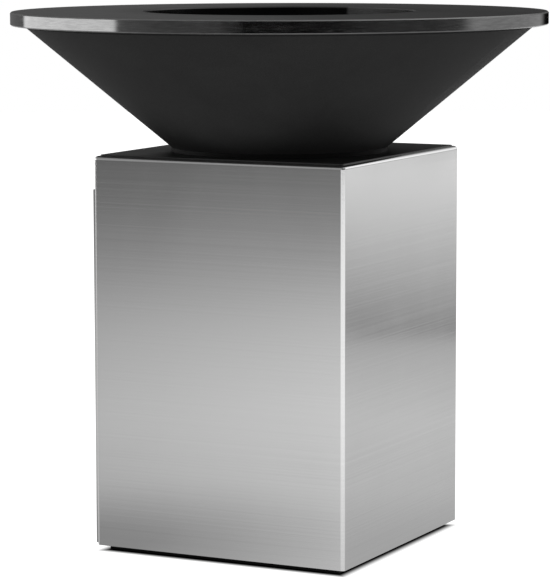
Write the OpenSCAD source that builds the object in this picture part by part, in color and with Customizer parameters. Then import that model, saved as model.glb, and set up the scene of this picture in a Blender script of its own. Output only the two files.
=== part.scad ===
// Fire bowl with a ring-shaped cooking plate on a square stainless base.
// Z is up. The origin is on the floor, on the axis of the bowl. The front face looks to -Y and
// the door is on the -X face. All sizes are in millimetres.

/* [Cooking plate] */
// Outside diameter of the plate
plate_d = 980; // [940:5:1080]
// Diameter of the fire opening
plate_hole_d = 494; // [420:2:560]
// Thickness of the plate
plate_t = 24; // [10:1:30]
// Chamfer along the plate's edges
plate_chamfer = 2; // [1:0.25:3]
// Number of locating lugs under the plate
lug_count = 4; // [3:1:6]
// Width of a lug along the rim
lug_w = 50; // [30:5:70]
// Thickness of a lug
lug_t = 5; // [3:1:8]
// How far a lug hangs under the plate
lug_drop = 18; // [10:1:20]
// Gap between a lug and the rim ring
lug_gap = 3; // [2:0.5:5]

/* [Fire bowl] */
// Outside diameter of the cone where it meets the plate
bowl_top_d = 934; // [880:2:936]
// Outside diameter of the cone at its foot
bowl_foot_d = 398; // [360:2:420]
// Height of the cone
bowl_h = 223; // [200:1:260]
// Thickness of the cone's sheet
bowl_t = 3; // [2:0.5:5]
// Width of the flat ring on the cone's top
rim_ring_w = 28; // [20:1:40]
// Thickness of the flat ring on the cone's top
rim_ring_t = 4; // [3:0.5:6]
// Thickness of the bowl's floor disc
bowl_floor_t = 5; // [3:0.5:8]
// Height of the ring the bowl stands on
foot_ring_h = 7; // [6:1:14]
// Width of the ring the bowl stands on
foot_ring_w = 14; // [10:1:20]
// Diameter of the drain hole in the bowl's floor
drain_hole_d = 50; // [40:2:54]
// Outside diameter of the drain pipe
drain_pipe_d = 60; // [58:1:80]
// Wall of the drain pipe
drain_pipe_t = 3; // [1.5:0.5:4]
// Length of the drain pipe
drain_pipe_len = 93; // [80:1:120]
// Spacing of the four studs that hold the bowl
stud_spacing = 200; // [180:5:230]
// Diameter of a stud
stud_d = 10; // [8:1:12]
// Length of a stud
stud_len = 27; // [25:1:29]

/* [Drain strainer] */
// Diameter of the strainer
strainer_d = 110; // [90:2:140]
// Thickness of the strainer
strainer_t = 4; // [3:0.5:6]
// Height of the strainer's legs
strainer_leg_h = 6; // [4:1:10]
// Diameter of a hole in the strainer
strainer_hole_d = 8; // [5:0.5:9]
// Diameter of the knob
knob_d = 18; // [14:1:22]
// Height of the knob
knob_h = 14; // [10:1:18]

/* [Base] */
// Width and depth of the base
base_w = 500; // [480:5:560]
// Height of the stainless shell
shell_h = 713; // [660:1:780]
// Thickness of the shell's sheet
shell_t = 2; // [1.5:0.25:3]
// Outside radius of the bends
bend_r = 7; // [6.5:0.5:9]
// Width of the flange folded in at the shell's top
flange_w = 25; // [20:1:30]
// Height of the shell's lower edge above the floor
floor_gap = 11; // [9:0.5:12]
// Thickness of the black top plate
top_plate_t = 2; // [2:0.5:4]
// Distance of the top plate's edge from the shell's face
top_plate_inset = 8; // [7:0.5:12]

/* [Frame] */
// Leg of the corner angles
post_leg = 40; // [35:1:45]
// Thickness of the frame's angles
angle_t = 3; // [2:0.5:4]
// Height of the frame's lower edge above the shell's lower edge
frame_set = 2; // [1:0.5:4]
// Height of the upper rails
upper_rail_h = 17; // [15:1:22]
// Height of the lower rails
lower_rail_h = 30; // [28:1:36]
// Width of the inward leg of the rails
rail_leg = 40; // [36:1:44]
// Width of a bearer under the bowl
bearer_w = 40; // [32:1:46]
// Thickness of a bearer's sheet
bearer_t = 2.5; // [2:0.5:3]
// Thickness of the heat shield
shield_t = 1.5; // [1:0.25:2.5]
// Length of the spacers above the heat shield
spacer_len = 29; // [24:1:40]
// Diameter of the spacers
spacer_d = 12; // [10:1:14]
// Spacing of the shield's screws along the rails
shield_screw_spacing = 300; // [240:10:340]
// Thickness of the cabinet floor
cabinet_floor_t = 2; // [1.5:0.25:3]

/* [Feet and plinth] */
// Distance of the plinth from the shell's face
plinth_inset = 18; // [14:1:20]
// Thickness of the plinth's sheet
plinth_t = 3; // [2:0.5:4]
// Height of the plinth's lower edge above the floor
plinth_gap = 2; // [1:0.5:4]
// Distance of a foot's axis from the shell's face
foot_inset = 45; // [44:1:52]
// Diameter of a foot's pad
pad_d = 40; // [32:1:44]
// Height of a foot's pad
pad_h = 5; // [4:0.5:5.5]
// Diameter of a foot's stem
foot_stem_d = 10; // [8:1:12]
// Length of a foot's stem
foot_stem_len = 34; // [32:1:35]
// Width of the corner brackets
bracket_w = 75; // [70:1:90]
// Thickness of the corner brackets
bracket_t = 5; // [4:0.5:6]
// Diameter of the threaded bushes
bush_d = 20; // [18:1:24]
// Height of the threaded bushes
bush_h = 14; // [10:1:15]
// Height of the lock nuts
lock_nut_h = 6; // [5:0.25:6.5]

/* [Door] */
// Distance of the door's top edge from the shell's top
door_top_gap = 61; // [50:1:80]
// Distance of the door's bottom edge from the shell's lower edge
door_bottom_gap = 3; // [2:1:30]
// How far the door stands proud of the shell
door_proud = 4; // [4:0.5:6]
// Thickness of the door's sheet
door_t = 1.5; // [1:0.25:2]
// Gap between the door's folded edge and the shell
door_gap = 0.5; // [0.4:0.1:0.8]
// Distance of the door's edge from the corner of the shell
door_side_gap = 6; // [6:0.5:9]
// Overlap of the door on each side of the doorway
door_overlap = 45; // [42:1:55]
// Overlap of the door above the doorway
door_overlap_z = 16; // [15:1:22]
// Height of the doorway's lower edge above the cabinet floor
door_sill_h = 19; // [15:1:40]
// Clearance between the door's liner and the doorway
liner_gap = 3; // [2.5:0.5:4]
// Depth of the liner behind the shell's face
liner_depth = 14; // [12:1:20]
// Width of the rubber seal
seal_w = 10; // [8:1:12]
// Distance of the seal's inner edge from the doorway
seal_set = 3; // [2:0.5:4]
// Height of the recessed pull
pull_h = 110; // [90:2:130]
// Width of the recessed pull
pull_w = 44; // [38:1:50]
// Depth of the recessed pull
pull_depth = 14; // [12:0.5:16]
// Thickness of the pull's sheet
pull_t = 1.5; // [1:0.25:2]
// Width of the pull's flange
pull_flange = 6; // [4:0.5:8]
// Distance of the pull's axis from the door's free edge
pull_inset = 90; // [85:1:110]

/* [Hinges and catch] */
// Radius of the hinge barrels
barrel_r = 3.5; // [3:0.25:3.5]
// Radius of the hinge pins
hinge_pin_r = 1.75; // [1.25:0.25:2]
// Length of a hinge
hinge_len = 60; // [50:2:80]
// Thickness of the hinge leaves
leaf_t = 2; // [2:0.25:2.5]
// Width of the hinge leaves
leaf_w = 30; // [26:1:34]
// Distance of the hinges from the door's ends
hinge_inset = 80; // [70:1:120]
// Axial gap between hinge knuckles
knuckle_gap = 0.3; // [0.2:0.1:0.5]
// Radius of a rivet's shank
rivet_r = 2; // [1.5:0.25:2]
// Radius of a rivet's head
rivet_head_r = 3.5; // [3:0.25:4]
// Height of a rivet's head
rivet_head_h = 1; // [0.75:0.25:1.25]
// Spacing of the two rivets on a hinge leaf
rivet_spacing = 36; // [30:1:44]
// Width of the magnetic catch
catch_w = 40; // [30:1:50]
// Height of the magnetic catch
catch_h = 18; // [14:1:24]
// Depth of the magnetic catch
catch_d = 18; // [16:1:22]
// Distance of the catch's axis from the side of the doorway
catch_inset = 59; // [45:1:100]
// Thickness of the catch's bracket and strike plate
catch_plate_t = 1; // [0.75:0.25:1.5]

/* [Ash pan] */
// Width and depth of the ash pan
pan_w = 240; // [180:5:300]
// Height of the ash pan
pan_h = 60; // [40:5:90]
// Thickness of the ash pan's sheet
pan_t = 1.5; // [1:0.25:2.5]
// Width of the pan's folded rim
pan_rim_w = 8; // [6:1:12]

/* [Clearances] */
// Clearance around a shank in a hole within one assembly
hole_gap = 0.5; // [0.3:0.1:0.8]
// Radial clearance of a turning or sliding pin
run_gap = 0.05; // [0.02:0.01:0.09]
// Small gap between neighbours that only seat
seat_gap = 0.3; // [0.2:0.05:0.4]

/* [Hidden] */
$fn = 96;

// A cut is made this much longer than what it cuts
over = 1;

// Heights, from the floor up
shell_top_z = floor_gap + shell_h;
flange_under_z = shell_top_z - shell_t;
deck_z = shell_top_z + top_plate_t;
cone_z = deck_z + foot_ring_h;
plate_z = cone_z + bowl_h;
bowl_floor_z = cone_z + bowl_floor_t;
frame_z = floor_gap + frame_set;
frame_top_z = flange_under_z - (bend_r - shell_t);
lower_rail_top_z = frame_z + lower_rail_h;
cabinet_floor_z = lower_rail_top_z + cabinet_floor_t;
upper_rail_z = frame_top_z - upper_rail_h;
bearer_h = shell_top_z - upper_rail_z - angle_t;
shield_top_z = upper_rail_z - spacer_len;
shield_z = shield_top_z - shield_t;

// The cone's outside radius at a height above its foot, and its wall measured level
cone_slope = (bowl_top_d - bowl_foot_d) / 2 / bowl_h;
cone_wall = bowl_t * sqrt(1 + cone_slope * cone_slope);
cone_top_h = bowl_h - rim_ring_t;
rim_ring_r = bowl_foot_d / 2 + cone_slope * cone_top_h;
rim_ring_hole_r = rim_ring_r - rim_ring_w;
lug_r = rim_ring_hole_r - lug_gap;

// The base seen from above
deck_hole_gap = 3;
shield_screw_share = 0.65;
shield_edge = 2;
half_w = base_w / 2;
inside = half_w - shell_t;
post_inside = inside - angle_t;
rail_half_len = inside - post_leg;
flange_edge = half_w - flange_w;
foot_xy = half_w - foot_inset;
plinth_half = half_w - plinth_inset;
post_corner_r = bend_r;
deck_hole_r = drain_pipe_d / 2 + deck_hole_gap;
shield_screw_y = inside - rail_leg * shield_screw_share;

// Fasteners: a nut's height and its radius across corners, as shares of the thread's diameter
nut_ratio = 0.8;
hex_ratio = 0.92;
stud_nut_r = stud_d * hex_ratio;
washer_t = 2;
washer_r = stud_d;
shield_screw_r = 2.5;
shield_nut_r = 4.6;
shield_nut_h = 4;
shield_head_h = 3;
shield_screw_past = 1;
catch_screw_r = 1.5;
catch_head_r = 3;
catch_head_h = 2;
bush_bore_r = foot_stem_d / 2 + run_gap;
lock_nut_r = foot_stem_d * hex_ratio;
stem_socket = 2;
strainer_rings = [[6, 0.34], [12, 0.7]];
strainer_leg_r = 3;
strainer_leg_share = 0.62;
knob_neck_share = 0.4;
knob_neck_ratio = 0.5;

// The door
door_half = half_w - door_side_gap;
door_z0 = floor_gap + door_bottom_gap;
door_z1 = shell_top_z - door_top_gap;
door_face_x = -half_w - door_proud;
doorway_half = door_half - door_overlap;
doorway_z0 = cabinet_floor_z + door_sill_h;
doorway_z1 = door_z1 - door_overlap_z;
liner_half = doorway_half - liner_gap;
liner_z0 = doorway_z0 + liner_gap;
liner_z1 = doorway_z1 - liner_gap;
liner_x = -half_w + liner_depth;
seal_half = doorway_half + seal_set;
seal_z0 = doorway_z0 - seal_set;
seal_z1 = doorway_z1 + seal_set;
pull_y = -door_half + pull_inset;
pull_z = (door_z0 + door_z1) / 2;
lip_share = 0.5;

// Hinges: the axis lies off the rear left corner
hinge_x = door_face_x - leaf_t + barrel_r;
hinge_y = half_w + leaf_t - barrel_r;
hinge_bore_r = hinge_pin_r + run_gap;
knuckle_len = (hinge_len - 2 * knuckle_gap) / 3;
hinge_zs = [door_z0 + hinge_inset, door_z1 - hinge_inset - hinge_len];
door_leaf_gap = 0.5;
base_leaf_gap = 1;
door_leaf_y1 = hinge_y - barrel_r - door_leaf_gap;
base_leaf_x0 = hinge_x + barrel_r + base_leaf_gap;
rivet_inset = 12;

// The catch hangs behind the doorway's upper edge
catch_rise = 1;
strike_gap = 1;
catch_y = -doorway_half + catch_inset;
catch_z1 = doorway_z1 + catch_rise;
catch_z0 = catch_z1 - catch_h - seat_gap;
catch_x0 = liner_x + catch_plate_t + seat_gap;
catch_shelf_d = catch_x0 + catch_d + inside;
catch_leg_h = 30;

module ring(r_out, r_in, h, z) {
    translate([0, 0, z])
        difference() {
            cylinder(r = r_out, h = h);
            translate([0, 0, -over])
                cylinder(r = r_in, h = h + 2 * over);
        }
}

module hex(r, h) {
    cylinder(r = r, h = h, $fn = 6);
}

module at_four(x, y) {
    for (sx = [-1, 1])
        for (sy = [-1, 1])
            translate([sx * x, sy * y, 0])
                children();
}

module quarter_turns() {
    for (turn = [0:3])
        rotate([0, 0, 90 * turn])
            children();
}

module round_square(w, r) {
    union() {
        square([w - 2 * r, w], center = true);
        square([w, w - 2 * r], center = true);
        for (sx = [-1, 1])
            for (sy = [-1, 1])
                translate([sx * (w / 2 - r), sy * (w / 2 - r)])
                    circle(r = r);
    }
}

// A square block whose upright and top edges are round
module folded_block(w, r, z0, z1) {
    reach = w / 2 - r;
    union() {
        translate([0, 0, z0])
            linear_extrude(height = z1 - r - z0)
                round_square(w, r);
        translate([-reach, -reach, z1 - r - over])
            cube([2 * reach, 2 * reach, r + over]);
        quarter_turns()
            translate([reach, -reach, z1 - r])
                rotate([-90, 0, 0])
                    cylinder(r = r, h = 2 * reach);
        at_four(reach, reach)
            translate([0, 0, z1 - r])
                sphere(r = r);
    }
}

module cooking_plate() {
    r_in = plate_hole_d / 2;
    r_out = plate_d / 2;
    c = plate_chamfer;
    color("#2b2b2c")
        translate([0, 0, plate_z])
            rotate_extrude()
                polygon([
                    [r_in + c, 0], [r_out - c, 0], [r_out, c], [r_out, plate_t - c],
                    [r_out - c, plate_t], [r_in + c, plate_t], [r_in, plate_t - c], [r_in, c]
                ]);
}

module plate_lugs() {
    color("#333333")
        for (i = [0:lug_count - 1])
            rotate([0, 0, 360 / lug_count * (i + 0.5)])
                translate([lug_r - lug_t, -lug_w / 2, plate_z - lug_drop])
                    cube([lug_t, lug_w, lug_drop]);
}

module bowl_rim_ring() {
    color("#262627")
        ring(rim_ring_r, rim_ring_hole_r, rim_ring_t, plate_z - rim_ring_t);
}

module bowl_cone() {
    r0 = bowl_foot_d / 2;
    color("#29292a")
        translate([0, 0, cone_z])
            rotate_extrude()
                polygon([
                    [r0, 0], [rim_ring_r, cone_top_h],
                    [rim_ring_r - cone_wall, cone_top_h], [r0 - cone_wall, 0]
                ]);
}

module bowl_floor() {
    color("#222222")
        ring(bowl_foot_d / 2 - cone_wall - seat_gap, drain_hole_d / 2, bowl_floor_t, cone_z);
}

module bowl_foot_ring() {
    color("#1d1d1e")
        ring(bowl_foot_d / 2, bowl_foot_d / 2 - foot_ring_w, foot_ring_h, deck_z);
}

module bowl_studs() {
    color("#8c8c8c")
        at_four(stud_spacing / 2, stud_spacing / 2)
            translate([0, 0, cone_z - stud_len])
                cylinder(d = stud_d, h = stud_len);
}

module stud_washers() {
    color("#a0a0a0")
        at_four(stud_spacing / 2, stud_spacing / 2)
            ring(washer_r, stud_d / 2 + hole_gap, washer_t, shell_top_z - bearer_t - washer_t);
}

module stud_nuts() {
    nut_h = stud_d * nut_ratio;
    color("#9a9a9a")
        at_four(stud_spacing / 2, stud_spacing / 2)
            translate([0, 0, shell_top_z - bearer_t - washer_t - nut_h])
                difference() {
                    hex(stud_nut_r, nut_h);
                    translate([0, 0, -over])
                        cylinder(r = stud_d / 2 + run_gap, h = nut_h + 2 * over);
                }
}

module drain_pipe() {
    r = drain_pipe_d / 2;
    color("#3a3a3a")
        ring(r, r - drain_pipe_t, drain_pipe_len, cone_z - drain_pipe_len);
}

module strainer_disc() {
    disc_z = bowl_floor_z + strainer_leg_h;
    leg_xy = strainer_d / 2 * strainer_leg_share;
    color("#303030")
        union() {
            difference() {
                translate([0, 0, disc_z])
                    cylinder(d = strainer_d, h = strainer_t);
                for (holes = strainer_rings)
                    for (i = [0:holes[0] - 1])
                        rotate([0, 0, 360 / holes[0] * (i + 0.5)])
                            translate([strainer_d / 2 * holes[1], 0, disc_z - over])
                                cylinder(d = strainer_hole_d, h = strainer_t + 2 * over);
            }
            at_four(leg_xy, leg_xy)
                translate([0, 0, bowl_floor_z])
                    cylinder(r = strainer_leg_r, h = strainer_leg_h + strainer_t / 2);
        }
}

module strainer_knob() {
    neck_h = knob_h * knob_neck_share;
    color("#3c3c3c")
        translate([0, 0, bowl_floor_z + strainer_leg_h + strainer_t])
            union() {
                cylinder(d = knob_d * knob_neck_ratio, h = neck_h);
                translate([0, 0, neck_h])
                    cylinder(d = knob_d, h = knob_h - neck_h);
            }
}

module top_plate() {
    color("#222223")
        translate([0, 0, shell_top_z])
            difference() {
                linear_extrude(height = top_plate_t)
                    round_square(base_w - 2 * top_plate_inset, bend_r);
                translate([0, 0, -over])
                    cylinder(r = deck_hole_r, h = top_plate_t + 2 * over);
                at_four(stud_spacing / 2, stud_spacing / 2)
                    translate([0, 0, -over])
                        cylinder(r = stud_d / 2 + hole_gap, h = top_plate_t + 2 * over);
            }
}

module base_shell() {
    color("#b4b4b6")
        difference() {
            folded_block(base_w, bend_r, floor_gap, shell_top_z);
            folded_block(2 * inside, bend_r - shell_t, floor_gap - over, flange_under_z);
            translate([-flange_edge, -flange_edge, flange_under_z - over])
                cube([2 * flange_edge, 2 * flange_edge, shell_t + 2 * over]);
            translate([-half_w - over, -doorway_half, doorway_z0])
                cube([shell_t + 2 * over, 2 * doorway_half, doorway_z1 - doorway_z0]);
            at_base_rivets()
                cylinder(r = rivet_r + hole_gap, h = 2 * (shell_t + angle_t), center = true);
        }
}

module angle_corner(leg, t, r) {
    difference() {
        union() {
            translate([r, 0])
                square([leg - r, leg]);
            translate([0, r])
                square([leg, leg - r]);
            translate([r, r])
                circle(r = r);
        }
        translate([t, t])
            square([leg, leg]);
    }
}

module corner_posts() {
    color("#6f7072")
        difference() {
            quarter_turns()
                translate([-inside, -inside, frame_z])
                    linear_extrude(height = frame_top_z - frame_z)
                        angle_corner(post_leg, angle_t, post_corner_r);
            at_base_rivets()
                cylinder(r = rivet_r + hole_gap, h = 4 * (shell_t + angle_t), center = true);
        }
}

// A rail against the +X wall: an upright leg on the wall and a level leg that points inwards
module rail(h, z, ledge_z) {
    union() {
        translate([inside - angle_t, -rail_half_len, z])
            cube([angle_t, 2 * rail_half_len, h]);
        translate([inside - rail_leg, -rail_half_len, ledge_z])
            cube([rail_leg, 2 * rail_half_len, angle_t]);
    }
}

module upper_rails() {
    color("#6f7072")
        difference() {
            quarter_turns()
                rail(upper_rail_h, upper_rail_z, upper_rail_z);
            at_four(shield_screw_spacing / 2, shield_screw_y)
                translate([0, 0, upper_rail_z - over])
                    cylinder(r = shield_screw_r + hole_gap, h = angle_t + 2 * over);
        }
}

module lower_rails() {
    color("#6f7072")
        quarter_turns()
            rail(lower_rail_h, frame_z, lower_rail_top_z - angle_t);
}

module bearers() {
    half_len = flange_edge - seat_gap;
    color("#7a7b7d")
        for (side = [-1, 1])
            difference() {
                translate([side * stud_spacing / 2 - bearer_w / 2, -half_len, shell_top_z - bearer_h])
                    cube([bearer_w, 2 * half_len, bearer_h]);
                translate([
                    side * stud_spacing / 2 - bearer_w / 2 + bearer_t, -half_len - over,
                    shell_top_z - bearer_h - over
                ])
                    cube([bearer_w - 2 * bearer_t, 2 * (half_len + over), bearer_h - bearer_t + over]);
                for (end = [-1, 1])
                    translate([side * stud_spacing / 2, end * stud_spacing / 2, shell_top_z - bearer_h])
                        cylinder(r = stud_d / 2 + hole_gap, h = bearer_h + over);
            }
}

module heat_shield() {
    shield_half = shield_screw_y + spacer_d / 2 + shield_edge;
    color("#9fa0a2")
        difference() {
            translate([-shield_half, -shield_half, shield_z])
                cube([2 * shield_half, 2 * shield_half, shield_t]);
            translate([0, 0, shield_z - over])
                cylinder(r = deck_hole_r, h = shield_t + 2 * over);
            at_four(shield_screw_spacing / 2, shield_screw_y)
                translate([0, 0, shield_z - over])
                    cylinder(r = shield_screw_r + hole_gap, h = shield_t + 2 * over);
        }
}

module shield_spacers() {
    color("#8c8d8f")
        at_four(shield_screw_spacing / 2, shield_screw_y)
            ring(spacer_d / 2, shield_screw_r + hole_gap, spacer_len, shield_top_z);
}

module shield_screws() {
    shank_top_z = upper_rail_z + angle_t + shield_nut_h + shield_screw_past;
    color("#a6a6a8")
        at_four(shield_screw_spacing / 2, shield_screw_y)
            union() {
                translate([0, 0, shield_z - shield_head_h])
                    cylinder(r = shield_nut_r, h = shield_head_h);
                translate([0, 0, shield_z - shield_head_h / 2])
                    cylinder(r = shield_screw_r, h = shank_top_z - shield_z + shield_head_h / 2);
            }
}

module shield_nuts() {
    color("#a6a6a8")
        at_four(shield_screw_spacing / 2, shield_screw_y)
            translate([0, 0, upper_rail_z + angle_t])
                difference() {
                    hex(shield_nut_r, shield_nut_h);
                    translate([0, 0, -over])
                        cylinder(r = shield_screw_r + run_gap, h = shield_nut_h + 2 * over);
                }
}

module cabinet_floor() {
    half = post_inside - seat_gap;
    color("#8f9092")
        translate([-half, -half, lower_rail_top_z])
            cube([2 * half, 2 * half, cabinet_floor_t]);
}

module foot_brackets() {
    near = post_inside - bracket_w;
    color("#5f6062")
        quarter_turns()
            difference() {
                translate([near, near, frame_z])
                    cube([bracket_w, bracket_w, bracket_t]);
                translate([foot_xy, foot_xy, frame_z - over])
                    cylinder(r = foot_stem_d / 2 + hole_gap, h = bracket_t + 2 * over);
            }
}

module foot_bushes() {
    color("#9b9c9e")
        at_four(foot_xy, foot_xy)
            ring(bush_d / 2, bush_bore_r, bush_h, frame_z + bracket_t);
}

module foot_lock_nuts() {
    color("#a6a6a8")
        at_four(foot_xy, foot_xy)
            translate([0, 0, frame_z - lock_nut_h])
                difference() {
                    hex(lock_nut_r, lock_nut_h);
                    translate([0, 0, -over])
                        cylinder(r = bush_bore_r, h = lock_nut_h + 2 * over);
                }
}

module plinth_ring() {
    inner = plinth_half - plinth_t;
    h = frame_z - plinth_gap;
    color("#151515")
        translate([0, 0, plinth_gap])
            difference() {
                translate([-plinth_half, -plinth_half, 0])
                    cube([2 * plinth_half, 2 * plinth_half, h]);
                translate([-inner, -inner, -over])
                    cube([2 * inner, 2 * inner, h + 2 * over]);
            }
}

// Feet are numbered anticlockwise from the front left
FOOT_SIGNS = [[-1, -1], [1, -1], [1, 1], [-1, 1]];

module foot_pad(i) {
    color("#1a1a1a")
        translate([FOOT_SIGNS[i][0] * foot_xy, FOOT_SIGNS[i][1] * foot_xy, 0])
            difference() {
                cylinder(d = pad_d, h = pad_h);
                translate([0, 0, stem_socket])
                    cylinder(r = foot_stem_d / 2 + run_gap, h = pad_h);
            }
}

module foot_stem(i) {
    color("#a6a6a8")
        translate([FOOT_SIGNS[i][0] * foot_xy, FOOT_SIGNS[i][1] * foot_xy, stem_socket])
            cylinder(d = foot_stem_d, h = foot_stem_len);
}

module door_leaf() {
    h = door_z1 - door_z0;
    depth = door_proud - door_gap;
    color("#b4b4b6")
        difference() {
            translate([door_face_x, -door_half, door_z0])
                cube([depth, 2 * door_half, h]);
            translate([door_face_x + door_t, -door_half + door_t, door_z0 + door_t])
                cube([depth, 2 * (door_half - door_t), h - 2 * door_t]);
            translate([
                door_face_x - over, pull_y - pull_w / 2 - seat_gap, pull_z - pull_h / 2 - seat_gap
            ])
                cube([door_t + 2 * over, pull_w + 2 * seat_gap, pull_h + 2 * seat_gap]);
            at_door_rivets()
                cylinder(r = rivet_r + hole_gap, h = 2 * (leaf_t + door_t), center = true);
        }
}

// The liner is a tray that closes the back of the door and stiffens it
module door_liner() {
    x0 = door_face_x + door_t;
    color("#a2a3a5")
        difference() {
            translate([x0, -liner_half, liner_z0])
                cube([liner_x - x0, 2 * liner_half, liner_z1 - liner_z0]);
            translate([x0 - over, -liner_half + door_t, liner_z0 + door_t])
                cube([
                    liner_x - x0 - door_t + over, 2 * (liner_half - door_t),
                    liner_z1 - liner_z0 - 2 * door_t
                ]);
        }
}

module door_seal() {
    x0 = door_face_x + door_t;
    depth = -half_w - seat_gap - x0;
    color("#1c1c1c")
        difference() {
            translate([x0, -seal_half - seal_w, seal_z0 - seal_w])
                cube([depth, 2 * (seal_half + seal_w), seal_z1 - seal_z0 + 2 * seal_w]);
            translate([x0 - over, -seal_half, seal_z0])
                cube([depth + 2 * over, 2 * seal_half, seal_z1 - seal_z0]);
        }
}

// A cup let into the door, with a lip over the side nearer the hinges for the fingers
module pull_cup() {
    x0 = door_face_x - pull_t;
    color("#98999b")
        translate([0, pull_y, pull_z])
            difference() {
                union() {
                    translate([x0, -pull_w / 2 - pull_flange, -pull_h / 2 - pull_flange])
                        cube([pull_t, pull_w + 2 * pull_flange, pull_h + 2 * pull_flange]);
                    translate([door_face_x - over, -pull_w / 2, -pull_h / 2])
                        cube([pull_depth + over, pull_w, pull_h]);
                }
                translate([door_face_x, -pull_w / 2 + pull_t, -pull_h / 2 + pull_t])
                    cube([pull_depth - pull_t, pull_w - 2 * pull_t, pull_h - 2 * pull_t]);
                translate([x0 - over, -pull_w / 2 + pull_t, -pull_h / 2 + pull_t])
                    cube([
                        pull_t + 2 * over, (pull_w - 2 * pull_t) * lip_share,
                        pull_h - 2 * pull_t
                    ]);
            }
}

// Rivet axes on the door's face and on the rear face, with local Z along each rivet
module at_door_rivets() {
    for (z0 = hinge_zs)
        for (side = [-1, 1])
            translate([
                door_face_x, door_leaf_y1 - rivet_inset, z0 + hinge_len / 2 + side * rivet_spacing / 2
            ])
                rotate([0, -90, 0])
                    children();
}

module at_base_rivets() {
    for (z0 = hinge_zs)
        for (side = [-1, 1])
            translate([
                base_leaf_x0 + rivet_inset, half_w, z0 + hinge_len / 2 + side * rivet_spacing / 2
            ])
                rotate([-90, 0, 0])
                    children();
}

module knuckle(z, h) {
    translate([hinge_x, hinge_y, z])
        cylinder(r = barrel_r, h = h);
}

module hinge_bore(z0) {
    translate([hinge_x, hinge_y, z0 - over])
        cylinder(r = hinge_bore_r, h = hinge_len + 2 * over);
}

module hinge_leaves_door() {
    mid = knuckle_len + knuckle_gap;
    color("#8d8e90")
        for (z0 = hinge_zs)
            difference() {
                union() {
                    translate([hinge_x - barrel_r, door_leaf_y1 - leaf_w, z0])
                        cube([leaf_t, leaf_w, hinge_len]);
                    translate([hinge_x - barrel_r, door_leaf_y1 - over, z0 + mid])
                        cube([leaf_t, hinge_y - door_leaf_y1 + over, knuckle_len]);
                    knuckle(z0 + mid, knuckle_len);
                }
                hinge_bore(z0);
                at_door_rivets()
                    cylinder(r = rivet_r + hole_gap, h = 4 * leaf_t, center = true);
            }
}

module hinge_leaves_base() {
    color("#8d8e90")
        for (z0 = hinge_zs)
            difference() {
                union() {
                    translate([base_leaf_x0, hinge_y + barrel_r - leaf_t, z0])
                        cube([leaf_w, leaf_t, hinge_len]);
                    for (z = [z0, z0 + 2 * (knuckle_len + knuckle_gap)]) {
                        knuckle(z, knuckle_len);
                        translate([hinge_x, hinge_y + barrel_r - leaf_t, z])
                            cube([base_leaf_x0 - hinge_x + over, leaf_t, knuckle_len]);
                    }
                }
                hinge_bore(z0);
                at_base_rivets()
                    cylinder(r = rivet_r + hole_gap, h = 4 * leaf_t, center = true);
            }
}

module hinge_pins() {
    color("#a8a9ab")
        for (z0 = hinge_zs)
            translate([hinge_x, hinge_y, z0])
                cylinder(r = hinge_pin_r, h = hinge_len);
}

// A rivet along Z: its outer head sits at z = out, its inner head at z = -depth
module rivet(out, depth) {
    union() {
        translate([0, 0, out])
            cylinder(r = rivet_head_r, h = rivet_head_h);
        translate([0, 0, -depth])
            cylinder(r = rivet_r, h = depth + out + rivet_head_h / 2);
        translate([0, 0, -depth - rivet_head_h])
            cylinder(r = rivet_head_r, h = rivet_head_h);
    }
}

module hinge_rivets_door() {
    color("#a8a9ab")
        at_door_rivets()
            rivet(leaf_t, door_t);
}

module hinge_rivets_base() {
    color("#a8a9ab")
        at_base_rivets()
            rivet(leaf_t, shell_t + angle_t);
}

module catch_bracket() {
    color("#8f9092")
        translate([-inside, catch_y - catch_w / 2, catch_z1])
            difference() {
                cube([catch_shelf_d, catch_w, catch_leg_h]);
                translate([catch_plate_t, -over, catch_plate_t])
                    cube([catch_shelf_d, catch_w + 2 * over, catch_leg_h]);
                at_catch_screws()
                    translate([0, 0, -over])
                        cylinder(r = catch_screw_r + run_gap, h = catch_plate_t + 2 * over);
            }
}

module at_catch_screws() {
    for (side = [-1, 1])
        translate([catch_shelf_d - catch_d / 2, catch_w / 2 + side * catch_w / 4, 0])
            children();
}

module catch_magnet() {
    color("#2a2a2a")
        difference() {
            translate([catch_x0, catch_y - catch_w / 2, catch_z0])
                cube([catch_d, catch_w, catch_z1 - catch_z0]);
            translate([-inside, catch_y - catch_w / 2, catch_z1 - catch_h / 2])
                at_catch_screws()
                    cylinder(r = catch_screw_r + run_gap, h = catch_h);
        }
}

module catch_screws() {
    color("#a8a9ab")
        translate([-inside, catch_y - catch_w / 2, catch_z1])
            at_catch_screws()
                union() {
                    translate([0, 0, catch_plate_t])
                        cylinder(r = catch_head_r, h = catch_head_h);
                    translate([0, 0, seat_gap - catch_h / 2])
                        cylinder(r = catch_screw_r, h = catch_h / 2 + catch_plate_t);
                }
}

module catch_strike() {
    color("#b9babc")
        translate([liner_x, catch_y - catch_w / 2, catch_z0])
            cube([catch_plate_t, catch_w, liner_z1 - catch_z0 - strike_gap]);
}

module ash_pan() {
    half = pan_w / 2;
    color("#4a4b4d")
        translate([0, 0, cabinet_floor_z])
            union() {
                difference() {
                    translate([-half, -half, 0])
                        cube([pan_w, pan_w, pan_h]);
                    translate([-half + pan_t, -half + pan_t, pan_t])
                        cube([pan_w - 2 * pan_t, pan_w - 2 * pan_t, pan_h]);
                }
                difference() {
                    translate([-half - pan_rim_w, -half - pan_rim_w, pan_h - pan_t])
                        cube([pan_w + 2 * pan_rim_w, pan_w + 2 * pan_rim_w, pan_t]);
                    translate([-half + pan_t, -half + pan_t, pan_h - pan_t - over])
                        cube([pan_w - 2 * pan_t, pan_w - 2 * pan_t, pan_t + 2 * over]);
                }
            }
}

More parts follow.
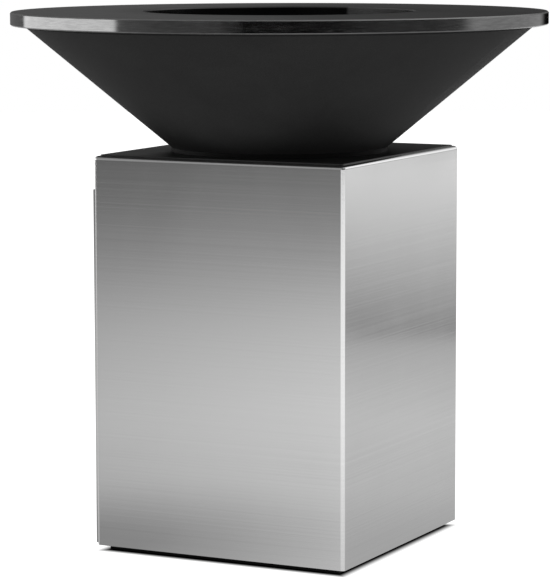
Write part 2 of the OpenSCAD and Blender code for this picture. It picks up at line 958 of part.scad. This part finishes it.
cooking_plate();
plate_lugs();
bowl_rim_ring();
bowl_cone();
bowl_floor();
bowl_foot_ring();
bowl_studs();
stud_washers();
stud_nuts();
drain_pipe();
strainer_disc();
strainer_knob();
top_plate();
base_shell();
corner_posts();
upper_rails();
lower_rails();
bearers();
heat_shield();
shield_spacers();
shield_screws();
shield_nuts();
cabinet_floor();
foot_brackets();
foot_bushes();
foot_lock_nuts();
plinth_ring();
foot_pad(0);  // foot_pad_1
foot_pad(1);  // foot_pad_2
foot_pad(2);  // foot_pad_3
foot_pad(3);  // foot_pad_4
foot_stem(0);  // foot_stem_1
foot_stem(1);  // foot_stem_2
foot_stem(2);  // foot_stem_3
foot_stem(3);  // foot_stem_4
door_leaf();
door_liner();
door_seal();
pull_cup();
hinge_leaves_door();
hinge_rivets_door();
hinge_leaves_base();
hinge_pins();
hinge_rivets_base();
catch_bracket();
catch_magnet();
catch_screws();
catch_strike();
ash_pan();
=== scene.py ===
import math

import bmesh
import bpy
from mathutils import Euler, Matrix, Vector

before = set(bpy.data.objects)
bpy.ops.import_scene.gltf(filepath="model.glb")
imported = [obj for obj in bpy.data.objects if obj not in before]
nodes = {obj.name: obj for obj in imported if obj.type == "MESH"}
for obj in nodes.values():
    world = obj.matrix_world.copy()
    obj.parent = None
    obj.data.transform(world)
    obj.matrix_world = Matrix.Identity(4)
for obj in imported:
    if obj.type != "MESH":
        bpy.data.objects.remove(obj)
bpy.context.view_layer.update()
scene = bpy.context.scene

# The camera, as it stood for the photograph, in metres and degrees
CAMERA_AZIMUTH = 26.633
CAMERA_DISTANCE = 5.3294
CAMERA_HEIGHT = 1.1489
CAMERA_HEADING = 26.730
CAMERA_PITCH = 7.293
CAMERA_ROLL = -0.128
CAMERA_LENS = 180.75
SENSOR_WIDTH = 36
CLIP_END = 200

# Half the widths of the base and of the plinth under it
HALF_BASE = 0.25
HALF_PLINTH = 0.232

# The floor disc, and how much of the light it scatters
FLOOR_RADIUS = 12.0
FLOOR_SIDES = 128
FLOOR_GREY = 0.5

# The contact shadow: how far it runs out from the plinth, how far away a piece still casts it, and
# the share of open sky between which it goes from black to white
SHADOW_EDGE = 0.026
SHADOW_REACH = 0.012
SHADOW_SKY = (0.5, 0.92)
SHADOW_RAYS = 16

# The light that the steel mirrors from the floor, by distance from the middle in metres
FRONT_FLOOR = [(0.3, 0.58), (1.8, 0.73), (3.2, 0.62), (4.9, 0.385), (6.5, 0.242), (9.0, 0.19)]
REAR_FLOOR = [
    (0.3, 0.49), (0.7, 0.61), (1.5, 0.69), (2.84, 0.52), (2.87, 0.27), (3.2, 0.36), (4.2, 0.52),
    (6.0, 0.72), (9.4, 1.06)
]
KEY_FLOOR = [(0.3, 0.81), (0.9, 0.93), (1.4, 1.06), (1.8, 1.13), (2.3, 1.18), (8.8, 1.18)]
BEYOND_LIGHT = 1.2
BESIDE_LIGHT = 0.7

# Where the floor's light ends, and what is left past it
FLOOR_END = (9.8, 10.4)
PAST_FLOOR = 0.02

# The wedges of that light: the corner of the base from which each spreads, the azimuth of its
# middle, and how many degrees off it the wedge starts to fade and is gone
FRONT_WEDGE = ((HALF_BASE, -HALF_BASE), -40.0, (90, 120))
KEY_WEDGE = ((HALF_BASE, -HALF_BASE), 49.0, (58, 73.5))
BEYOND_WEDGE = ((HALF_BASE, HALF_BASE), 186.0, (14, 22))
BESIDE_WEDGE = ((-HALF_BASE, -HALF_BASE), -108.0, (40, 50))

# The front light falls off across a line, by azimuth from one point, and close to the base's left
# side, by distance from another
LINE_POINT = (2.37, 4.31)
LINE_AZIMUTHS = (-31.0, -25.0)
LINE_LIGHT = (0.85, 1.15)
CLOSE_POINT = (-0.3, -0.35)
CLOSE_DISTANCES = (0.1, 0.56)
CLOSE_LIGHT = (0.61, 1.0)

# The light that falls on all that doesn't mirror
ROOM_LIGHT = 0.5

# The softboxes as reflections see them: azimuths from the camera between which each stands, how
# soft its sides are, and its light
LEFT_BOX = (-138, -72, 1.5, 1.4)
RIGHT_BOX = (86, 150, 6, 0.42)

# The room as reflections see it at eye level, above it and overhead, by azimuth from the camera as
# a share of the turn from -180 to 180 degrees
HORIZON = [
    (0.0, 0.14), (0.1, 0.18), (0.3, 0.19), (0.36, 0.12), (0.43, 0.1), (0.46, 0.005), (0.56, 0.01),
    (0.62, 0.06), (0.68, 0.06), (0.74, 0.12), (0.78, 0.04), (0.86, 0.02), (0.97, 0.0), (1.0, 0.04)
]
MIDDLE = [
    (0.0, 0.16), (0.1, 0.2), (0.28, 0.3), (0.35, 0.38), (0.41, 0.33), (0.47, 0.1), (0.6, 0.1),
    (0.74, 0.2), (0.81, 0.66), (0.86, 0.84), (0.92, 0.3), (0.98, 0.03), (1.0, 0.05)
]
CEILING = [(0.0, 0.6), (0.25, 0.3), (0.4, 0.22), (0.55, 0.3), (0.75, 0.9), (0.86, 1.3), (1.0, 0.5)]

# The heights of a direction, from 0 level to 1 straight up, between which each turns to the next
HORIZON_TO_MIDDLE = (0.01, 0.08)
MIDDLE_TO_CEILING = (0.35, 0.7)
BOXES_END = (0.3, 0.5)

# The lamps aim at this height over the middle of the floor
LAMP_TARGET = 0.6

# A noise seldom leaves this band
BAND = (0.3, 0.7)

# The cooking plate, in metres: where its outer edge starts, and the ring burnt by the fire
EDGE_RADII = (0.35, 0.4)
BURNT_RADII = (0.248, 0.34)
BURNT_SHADE = 0.4
TOP_GREYS = (0.02, 0.034)
EDGE_GREYS = (0.27, 0.34)
BORE_GREY = 0.003

# Painted light: the right side of its bore is painted a lit grey, between these azimuths
BORE_LIT_FROM = 122
BORE_LIT_TO = 175
BORE_LIT_TURN = (130, 165)
BORE_LIT_GREYS = (0.045, 0.085)

# Painted light on the plate's top: its grey falls from its left side to its right one
TOP_SIDES = (-0.2, 0.25)
TOP_PAINTED_LIGHT = (1.15, 0.5)

# Lines turned into the plate's edge, per metre across them and per degree along them
TURNED_ACROSS = 420.0
TURNED_ALONG = 0.35


def sine(degrees):
    return math.sin(math.radians(degrees))


def cosine(degrees):
    return math.cos(math.radians(degrees))


def grey(value):
    return (value, value, value, 1)


class Tree:
    """Short helpers that add nodes to one node tree and link them."""

    def __init__(self, owner):
        owner.use_nodes = True
        self.nodes = owner.node_tree.nodes
        self.links = owner.node_tree.links
        self.nodes.clear()

    def add(self, kind, **settings):
        made = self.nodes.new(kind)
        for key, value in settings.items():
            setattr(made, key, value)
        return made

    def put(self, value, socket):
        if isinstance(value, bpy.types.NodeSocket):
            self.links.new(value, socket)
        else:
            socket.default_value = value

    def math(self, operation, first, second=None, third=None, clamp=False):
        made = self.add("ShaderNodeMath", operation=operation, use_clamp=clamp)
        for place, value in enumerate((first, second, third)):
            if value is not None:
                self.put(value, made.inputs[place])
        return made.outputs[0]

    def mix(self, factor, first, second, blend="MIX"):
        """A colour between two. The node keeps its colour sockets at 6 and 7, and 2 going out."""
        made = self.add("ShaderNodeMix", data_type="RGBA", blend_type=blend)
        self.put(factor, made.inputs["Factor"])
        self.put(first, made.inputs[6])
        self.put(second, made.inputs[7])
        return made.outputs[2]

    def times(self, first, second):
        return self.mix(1.0, first, second, "MULTIPLY")

    def either(self, factor, first, second):
        """A number between two. The node keeps its number sockets at 2 and 3, and 0 going out."""
        made = self.add("ShaderNodeMix", data_type="FLOAT")
        self.put(factor, made.inputs["Factor"])
        self.put(first, made.inputs[2])
        self.put(second, made.inputs[3])
        return made.outputs[0]

    def spread(self, value, low, high, to_low=0.0, to_high=1.0, smooth=False):
        made = self.add("ShaderNodeMapRange")
        made.interpolation_type = "SMOOTHSTEP" if smooth else "LINEAR"
        self.put(value, made.inputs["Value"])
        made.inputs["From Min"].default_value = low
        made.inputs["From Max"].default_value = high
        made.inputs["To Min"].default_value = to_low
        made.inputs["To Max"].default_value = to_high
        return made.outputs["Result"]

    def ramp(self, factor, stops):
        made = self.add("ShaderNodeValToRGB")
        band = made.color_ramp
        while len(band.elements) < len(stops):
            band.elements.new(0.5)
        for element, (place, value) in zip(band.elements, stops):
            element.position = place
            element.color = grey(value)
        self.put(factor, made.inputs["Fac"])
        return made.outputs["Color"]

    def greys(self, value, dark, light, low=BAND[0], high=BAND[1]):
        """A grey from dark to light as a noise runs over its band."""
        return self.ramp(value, [(low, dark), (high, light)])

    def place(self, scale, offset=(0, 0, 0)):
        where = self.add("ShaderNodeTexCoord").outputs["Object"]
        made = self.add("ShaderNodeMapping")
        made.inputs["Scale"].default_value = scale
        made.inputs["Location"].default_value = offset
        self.links.new(where, made.inputs["Vector"])
        return made.outputs["Vector"]

    def noise(self, vector, scale, detail=2.0, roughness=0.5, distortion=0.0):
        made = self.add("ShaderNodeTexNoise")
        self.links.new(vector, made.inputs["Vector"])
        made.inputs["Scale"].default_value = scale
        made.inputs["Detail"].default_value = detail
        made.inputs["Roughness"].default_value = roughness
        made.inputs["Distortion"].default_value = distortion
        return made.outputs["Fac"]

    def bump(self, height, strength, distance, below=None):
        made = self.add("ShaderNodeBump")
        made.inputs["Strength"].default_value = strength
        made.inputs["Distance"].default_value = distance
        self.links.new(height, made.inputs["Height"])
        if below is not None:
            self.links.new(below, made.inputs["Normal"])
        return made.outputs["Normal"]

    def either_shader(self, factor, first, second):
        made = self.add("ShaderNodeMixShader")
        self.links.new(factor, made.inputs[0])
        self.links.new(first, made.inputs[1])
        self.links.new(second, made.inputs[2])
        return made.outputs[0]

    def surface(self, shader, kind="ShaderNodeOutputMaterial"):
        self.links.new(shader, self.add(kind).inputs["Surface"])


def axes(tree, vector):
    parts = tree.add("ShaderNodeSeparateXYZ")
    tree.links.new(vector, parts.inputs[0])
    return parts.outputs


def polar(tree, vector):
    """Distance from the Z axis, azimuth in degrees (0 at -Y, growing towards +X), and height."""
    x, y, z = axes(tree, vector)
    flat = tree.add("ShaderNodeCombineXYZ")
    tree.links.new(x, flat.inputs[0])
    tree.links.new(y, flat.inputs[1])
    length = tree.add("ShaderNodeVectorMath", operation="LENGTH")
    tree.links.new(flat.outputs[0], length.inputs[0])
    turn = tree.math("ARCTAN2", x, tree.math("MULTIPLY", y, -1.0))
    return length.outputs["Value"], tree.math("MULTIPLY", turn, 180 / math.pi), z


def turned(tree, azimuth, middle):
    """An azimuth counted from another one, from -180 to 180 degrees."""
    return tree.math("WRAP", tree.math("SUBTRACT", azimuth, middle), 180.0, -180.0)


def facing(tree):
    """How far a face looks up: 1 for a level top, 0 for an upright wall, -1 for an underside."""
    return axes(tree, tree.add("ShaderNodeNewGeometry").outputs["True Normal"])["Z"]


def window(tree, value, low, high, soft):
    """1 where value lies between low and high, falling to 0 over soft on each side."""
    rise = tree.spread(value, low - soft, low + soft, smooth=True)
    fall = tree.spread(value, high - soft, high + soft, 1.0, 0.0, smooth=True)
    return tree.math("MULTIPLY", rise, fall)


def make_camera():
    data = bpy.data.cameras.new("camera")
    data.lens = CAMERA_LENS
    data.sensor_width = SENSOR_WIDTH
    data.clip_end = CLIP_END
    camera = bpy.data.objects.new("camera", data)
    back = Vector((sine(CAMERA_AZIMUTH), -cosine(CAMERA_AZIMUTH), 0))
    camera.location = back * CAMERA_DISTANCE + Vector((0, 0, CAMERA_HEIGHT))
    aim = Euler((math.radians(90 - CAMERA_PITCH), 0, math.radians(CAMERA_HEADING)))
    roll = Matrix.Rotation(math.radians(CAMERA_ROLL), 3, "Z")
    camera.rotation_euler = (aim.to_matrix() @ roll).to_euler()
    scene.collection.objects.link(camera)
    scene.camera = camera


def about(tree, where, point):
    """Distance and azimuth as seen from one point on the floor."""
    moved = tree.add("ShaderNodeVectorMath", operation="SUBTRACT")
    tree.links.new(where, moved.inputs[0])
    moved.inputs[1].default_value = (*point, 0)
    distance, azimuth, _ = polar(tree, moved.outputs["Vector"])
    return distance, azimuth


def wedge(tree, where, corner, middle, fade):
    """1 inside a wedge of the floor that spreads from a corner, and 0 outside it."""
    _, azimuth = about(tree, where, corner)
    off_middle = tree.math("ABSOLUTE", turned(tree, azimuth, middle))
    return tree.spread(off_middle, *fade, 1.0, 0.0, smooth=True)


def floor_glow(tree, where):
    """The floor as the steel mirrors it: each wedge has its own light, by distance."""
    distance, _, _ = polar(tree, where)
    share = tree.math("DIVIDE", distance, FLOOR_RADIUS)
    front, rear, key = (
        tree.ramp(share, [(reach / FLOOR_RADIUS, light) for reach, light in levels])
        for levels in (FRONT_FLOOR, REAR_FLOOR, KEY_FLOOR)
    )
    _, azimuth = about(tree, where, LINE_POINT)
    front = tree.times(front, tree.spread(azimuth, *LINE_AZIMUTHS, *LINE_LIGHT))
    close, _ = about(tree, where, CLOSE_POINT)
    front = tree.times(front, tree.spread(close, *CLOSE_DISTANCES, *CLOSE_LIGHT))
    glow = tree.mix(wedge(tree, where, *FRONT_WEDGE), rear, front)
    glow = tree.mix(wedge(tree, where, *KEY_WEDGE), glow, key)
    glow = tree.mix(wedge(tree, where, *BEYOND_WEDGE), glow, grey(BEYOND_LIGHT))
    glow = tree.mix(wedge(tree, where, *BESIDE_WEDGE), glow, grey(BESIDE_LIGHT))
    return tree.mix(tree.spread(distance, *FLOOR_END), glow, grey(PAST_FLOOR))


def make_floor():
    """A white floor to the camera, a plain grey one to the light, and the glow to the steel."""
    mesh = bpy.data.meshes.new("floor")
    shape = bmesh.new()
    bmesh.ops.create_circle(shape, cap_ends=True, segments=FLOOR_SIDES, radius=FLOOR_RADIUS)
    shape.to_mesh(mesh)
    shape.free()
    floor = bpy.data.objects.new("floor", mesh)
    scene.collection.objects.link(floor)
    material = bpy.data.materials.new("studio_floor")
    tree = Tree(material)
    where = tree.add("ShaderNodeTexCoord").outputs["Object"]
    mirrored = tree.add("ShaderNodeEmission")
    tree.links.new(floor_glow(tree, where), mirrored.inputs["Color"])
    plain = tree.add("ShaderNodeBsdfDiffuse")
    # Painted contact shadow: black under the plinth, darker where the object stands close over it
    x, y, _ = axes(tree, where)
    aside = tree.math("MAXIMUM", tree.math("ABSOLUTE", x), tree.math("ABSOLUTE", y))
    clear = tree.spread(aside, HALF_PLINTH, HALF_PLINTH + SHADOW_EDGE, smooth=True)
    tree.links.new(tree.math("MULTIPLY", clear, FLOOR_GREY), plain.inputs["Color"])
    close = tree.add("ShaderNodeAmbientOcclusion", samples=SHADOW_RAYS)
    close.inputs["Distance"].default_value = SHADOW_REACH
    shadow = tree.spread(close.outputs["AO"], *SHADOW_SKY, smooth=True)
    white = tree.add("ShaderNodeEmission")
    tree.links.new(tree.math("MULTIPLY", clear, shadow), white.inputs["Color"])
    seen = tree.add("ShaderNodeAddShader")
    tree.links.new(plain.outputs[0], seen.inputs[0])
    tree.links.new(white.outputs[0], seen.inputs[1])
    path = tree.add("ShaderNodeLightPath")
    shown = tree.either_shader(path.outputs["Is Camera Ray"], plain.outputs[0], seen.outputs[0])
    tree.surface(tree.either_shader(path.outputs["Is Glossy Ray"], shown, mirrored.outputs[0]))
    mesh.materials.append(material)


def make_world():
    """White to the camera, plain grey light, and softboxes in a dim room for reflections."""
    world = bpy.data.worlds.new("studio")
    scene.world = world
    tree = Tree(world)
    _, azimuth, height = polar(tree, tree.add("ShaderNodeTexCoord").outputs["Generated"])
    around = turned(tree, azimuth, CAMERA_AZIMUTH)
    left_box, right_box = (
        tree.math("MULTIPLY", window(tree, around, low, high, soft), light)
        for low, high, soft, light in (LEFT_BOX, RIGHT_BOX)
    )
    below = tree.spread(height, *BOXES_END, 1.0, 0.0, smooth=True)
    boxes = tree.math("MULTIPLY", tree.math("ADD", left_box, right_box), below)
    share = tree.spread(around, -180.0, 180.0)
    room = tree.mix(tree.spread(height, *HORIZON_TO_MIDDLE, smooth=True),
                    tree.ramp(share, HORIZON), tree.ramp(share, MIDDLE))
    room = tree.mix(tree.spread(height, *MIDDLE_TO_CEILING, smooth=True),
                    room, tree.ramp(share, CEILING))
    mirrored = tree.mix(1.0, room, boxes, "ADD")
    path = tree.add("ShaderNodeLightPath")
    lit = tree.mix(path.outputs["Is Glossy Ray"], grey(ROOM_LIGHT), mirrored)
    colour = tree.mix(path.outputs["Is Camera Ray"], lit, grey(1))
    background = tree.add("ShaderNodeBackground")
    tree.links.new(colour, background.inputs["Color"])
    tree.surface(background.outputs[0], "ShaderNodeOutputWorld")


def make_lamp(name, azimuth, elevation, distance, size, power):
    data = bpy.data.lights.new(name, "AREA")
    data.shape = "DISK"
    data.size = size
    data.energy = power
    lamp = bpy.data.objects.new(name, data)
    back = Vector((
        sine(azimuth) * cosine(elevation), -cosine(azimuth) * cosine(elevation), sine(elevation)
    ))
    lamp.location = Vector((0, 0, LAMP_TARGET)) + back * distance
    lamp.rotation_euler = (-back).to_track_quat("-Z", "Y").to_euler()
    lamp.visible_glossy = False
    scene.collection.objects.link(lamp)


def skin(name, tone, roughness, metallic=1.0):
    material = bpy.data.materials.new(name)
    tree = Tree(material)
    shader = tree.add("ShaderNodeBsdfPrincipled")
    shader.inputs["Base Color"].default_value = grey(tone)
    shader.inputs["Roughness"].default_value = roughness
    shader.inputs["Metallic"].default_value = metallic
    tree.surface(shader.outputs[0])
    return material, tree, shader


def brushed_steel(name, tone, roughness, scale=(0.5, 0.5, 380.0), contrast=0.045):
    """Stainless sheet ground with fine parallel lines, with faint smears from handling."""
    material, tree, shader = skin(name, tone, roughness)
    fine = tree.noise(tree.place(scale), 1.0, detail=3.0, roughness=0.65)
    broad = tree.noise(tree.place(tuple(s / 5 for s in scale), (3, 1, 7)), 1.0)
    smear = tree.noise(tree.place((3.0, 3.0, 1.4), (5, 2, 1)), 1.0, 4.0, 0.6, 0.4)
    lines = tree.math("ADD", tree.math("MULTIPLY", fine, 0.75), tree.math("MULTIPLY", broad, 0.25))
    ground = tree.greys(lines, tone * (1 - contrast), tone * (1 + contrast))
    smeared = tree.greys(smear, 0.96, 1.0, low=0.35, high=0.65)
    tree.links.new(tree.times(ground, smeared), shader.inputs["Base Color"])
    gloss = tree.math("ADD", tree.spread(lines, *BAND, roughness - 0.04, roughness + 0.05),
                      tree.spread(smear, 0.4, 0.7, 0.0, 0.04))
    tree.links.new(gloss, shader.inputs["Roughness"])
    tree.links.new(tree.bump(lines, 0.04, 0.0003), shader.inputs["Normal"])
    return material


def black_steel(name, tone, roughness, grain=0.3, metallic=0.35, specular=0.5, painted_shade=None):
    """Blackened sheet: a mottled dark skin with a fine rough grain. Painted shade darkens what
    faces up.
    """
    material, tree, shader = skin(name, tone, roughness, metallic)
    shader.inputs["Specular IOR Level"].default_value = specular
    where = tree.place((1, 1, 1))
    cloud = tree.noise(where, 7.0, detail=6.0, roughness=0.6, distortion=0.3)
    speck = tree.noise(where, 770.0, detail=3.0, roughness=0.6)
    rough = tree.noise(where, 220.0, detail=4.0, roughness=0.6)
    colour = tree.times(tree.greys(cloud, tone * 0.85, tone * 1.2),
                        tree.greys(speck, 0.8, 1.25, low=0.35))
    gloss = tree.math("ADD", tree.spread(cloud, *BAND, roughness - 0.06, roughness + 0.06),
                      tree.spread(speck, *BAND, -0.05, 0.05))
    # Painted shade: what faces up, as the inside of the bowl, is painted near-black
    if painted_shade is not None:
        up = tree.spread(facing(tree), 0.05, 0.3, smooth=True)
        colour = tree.mix(up, colour, tree.greys(rough, painted_shade * 0.6, painted_shade * 1.5))
        gloss = tree.math("ADD", gloss, tree.math("MULTIPLY", up, 0.3), clamp=True)
    tree.links.new(colour, shader.inputs["Base Color"])
    tree.links.new(gloss, shader.inputs["Roughness"])
    low = tree.bump(rough, 0.12 * grain, 0.002)
    tree.links.new(tree.bump(speck, 0.25 * grain, 0.0006, low), shader.inputs["Normal"])
    return material


def cooking_steel():
    """Thick seasoned steel: an oiled dark top, burnt along the fire, with a bare turned edge."""
    material, tree, shader = skin("cooking_steel", 0.04, 0.4)
    shader.inputs["Specular IOR Level"].default_value = 0.4
    where = tree.add("ShaderNodeTexCoord").outputs["Object"]
    radius, azimuth, z = polar(tree, where)
    upright = tree.spread(tree.math("ABSOLUTE", facing(tree)), 0.5, 0.9, 1.0, 0.0)
    edge = tree.math("MULTIPLY", upright, tree.spread(radius, *EDGE_RADII))
    bore = tree.math("SUBTRACT", upright, edge)
    wound = tree.add("ShaderNodeCombineXYZ")
    tree.links.new(tree.math("MULTIPLY", azimuth, TURNED_ALONG), wound.inputs[0])
    tree.links.new(tree.math("MULTIPLY", z, TURNED_ACROSS), wound.inputs[1])
    tree.links.new(tree.math("MULTIPLY", radius, TURNED_ACROSS), wound.inputs[2])
    streaks = tree.noise(wound.outputs[0], 1.0, detail=3.0, roughness=0.6)
    cloud = tree.noise(where, 6.0, detail=6.0, roughness=0.6, distortion=0.3)
    speck = tree.noise(where, 700.0, detail=3.0, roughness=0.6)
    top = tree.greys(cloud, *TOP_GREYS)
    # Painted light: the top is painted lighter on its left side and darker on its right
    top = tree.times(top, tree.spread(axes(tree, where)[0], *TOP_SIDES, *TOP_PAINTED_LIGHT))
    top = tree.times(top, tree.spread(radius, *BURNT_RADII, BURNT_SHADE, 1.0, smooth=True))
    # Painted light: the bore's right side is painted lighter, more so further round
    painted_bore_light = tree.math("MULTIPLY", window(tree, azimuth, BORE_LIT_FROM, BORE_LIT_TO, 1),
                      tree.spread(azimuth, *BORE_LIT_TURN, *BORE_LIT_GREYS))
    top = tree.mix(bore, top, tree.math("ADD", painted_bore_light, BORE_GREY))
    top = tree.times(top, tree.greys(speck, 0.85, 1.2, low=0.35))
    bare = tree.greys(streaks, *EDGE_GREYS, low=0.35, high=0.65)
    tree.links.new(tree.mix(edge, top, bare), shader.inputs["Base Color"])
    tree.links.new(tree.spread(edge, 0.0, 1.0, 0.25, 1.0), shader.inputs["Metallic"])
    top_gloss = tree.math("ADD", tree.spread(cloud, *BAND, 0.34, 0.44),
                          tree.spread(speck, *BAND, -0.04, 0.04))
    top_gloss = tree.math("SUBTRACT", top_gloss, tree.math("MULTIPLY", bore, 0.22))
    edge_gloss = tree.spread(streaks, *BAND, 0.06, 0.12)
    tree.links.new(tree.either(edge, top_gloss, edge_gloss), shader.inputs["Roughness"])
    off_edge = tree.math("MULTIPLY", speck, tree.math("SUBTRACT", 1.0, edge))
    lined = tree.bump(streaks, 0.012, 0.0006)
    tree.links.new(tree.bump(off_edge, 0.12, 0.0005, lined), shader.inputs["Normal"])
    return material


def rubber(name, tone):
    material, tree, shader = skin(name, tone, 0.7, metallic=0.0)
    grain = tree.noise(tree.place((1, 1, 1)), 900.0, roughness=0.6)
    tree.links.new(tree.spread(grain, *BAND, 0.62, 0.8), shader.inputs["Roughness"])
    tree.links.new(tree.greys(grain, tone * 0.8, tone * 1.3), shader.inputs["Base Color"])
    tree.links.new(tree.bump(grain, 0.3, 0.0005), shader.inputs["Normal"])
    return material


def dress(material, *names):
    for name in names:
        slots = nodes[name].data.materials
        slots.clear()
        slots.append(material)


make_camera()
make_floor()
make_world()
make_lamp("key", azimuth=-20, elevation=68, distance=5.0, size=3.0, power=70)
make_lamp("fill", azimuth=75, elevation=50, distance=5.0, size=3.0, power=40)

dress(brushed_steel("brushed_stainless", 0.72, 0.11), "base_shell", "door_leaf")
dress(brushed_steel("inner_sheet", 0.5, 0.32),
      "heat_shield", "cabinet_floor", "door_liner", "catch_bracket")
dress(brushed_steel("hinge_steel", 0.6, 0.25, scale=(60.0, 60.0, 900.0), contrast=0.06),
      "pull_cup", "hinge_leaves_door", "hinge_leaves_base", "hinge_pins", "hinge_rivets_door",
      "hinge_rivets_base", "catch_strike")
dress(brushed_steel("zinc", 0.6, 0.3, scale=(300.0, 300.0, 300.0)),
      "bowl_studs", "stud_washers", "stud_nuts", "shield_spacers", "shield_screws",
      "shield_nuts", "foot_bushes", "foot_lock_nuts", "foot_stem_1", "foot_stem_2",
      "foot_stem_3", "foot_stem_4", "catch_screws")
dress(cooking_steel(), "cooking_plate", "plate_lugs")
# Black bowl paint, with painted shade on what faces up inside the bowl
dress(black_steel("bowl_paint", 0.042, 0.78, metallic=0.0, specular=0.1, painted_shade=0.002),
      "bowl_rim_ring", "bowl_cone", "bowl_floor", "drain_pipe", "strainer_disc",
      "strainer_knob")
# Painted shade: the foot ring takes a darker copy of the bowl's black paint, where shade falls
# under the bowl
dress(black_steel("foot_ring_painted_shade", 0.008, 0.6, metallic=0.0, specular=0.1), "bowl_foot_ring")
dress(black_steel("deck_black", 0.01, 0.4, metallic=0.0), "top_plate")
dress(black_steel("frame_paint", 0.16, 0.5),
      "corner_posts", "upper_rails", "lower_rails", "bearers", "foot_brackets")
dress(black_steel("pan_steel", 0.07, 0.5, grain=0.4), "ash_pan")
dress(black_steel("plinth_black", 0.004, 0.6, metallic=0.0, specular=0.08), "plinth_ring")
dress(rubber("foot_black", 0.015), "foot_pad_1", "foot_pad_2", "foot_pad_3", "foot_pad_4")
dress(rubber("seal_rubber", 0.02), "door_seal")
dress(rubber("catch_plastic", 0.03), "catch_magnet")

scene.view_settings.view_transform = "Standard"
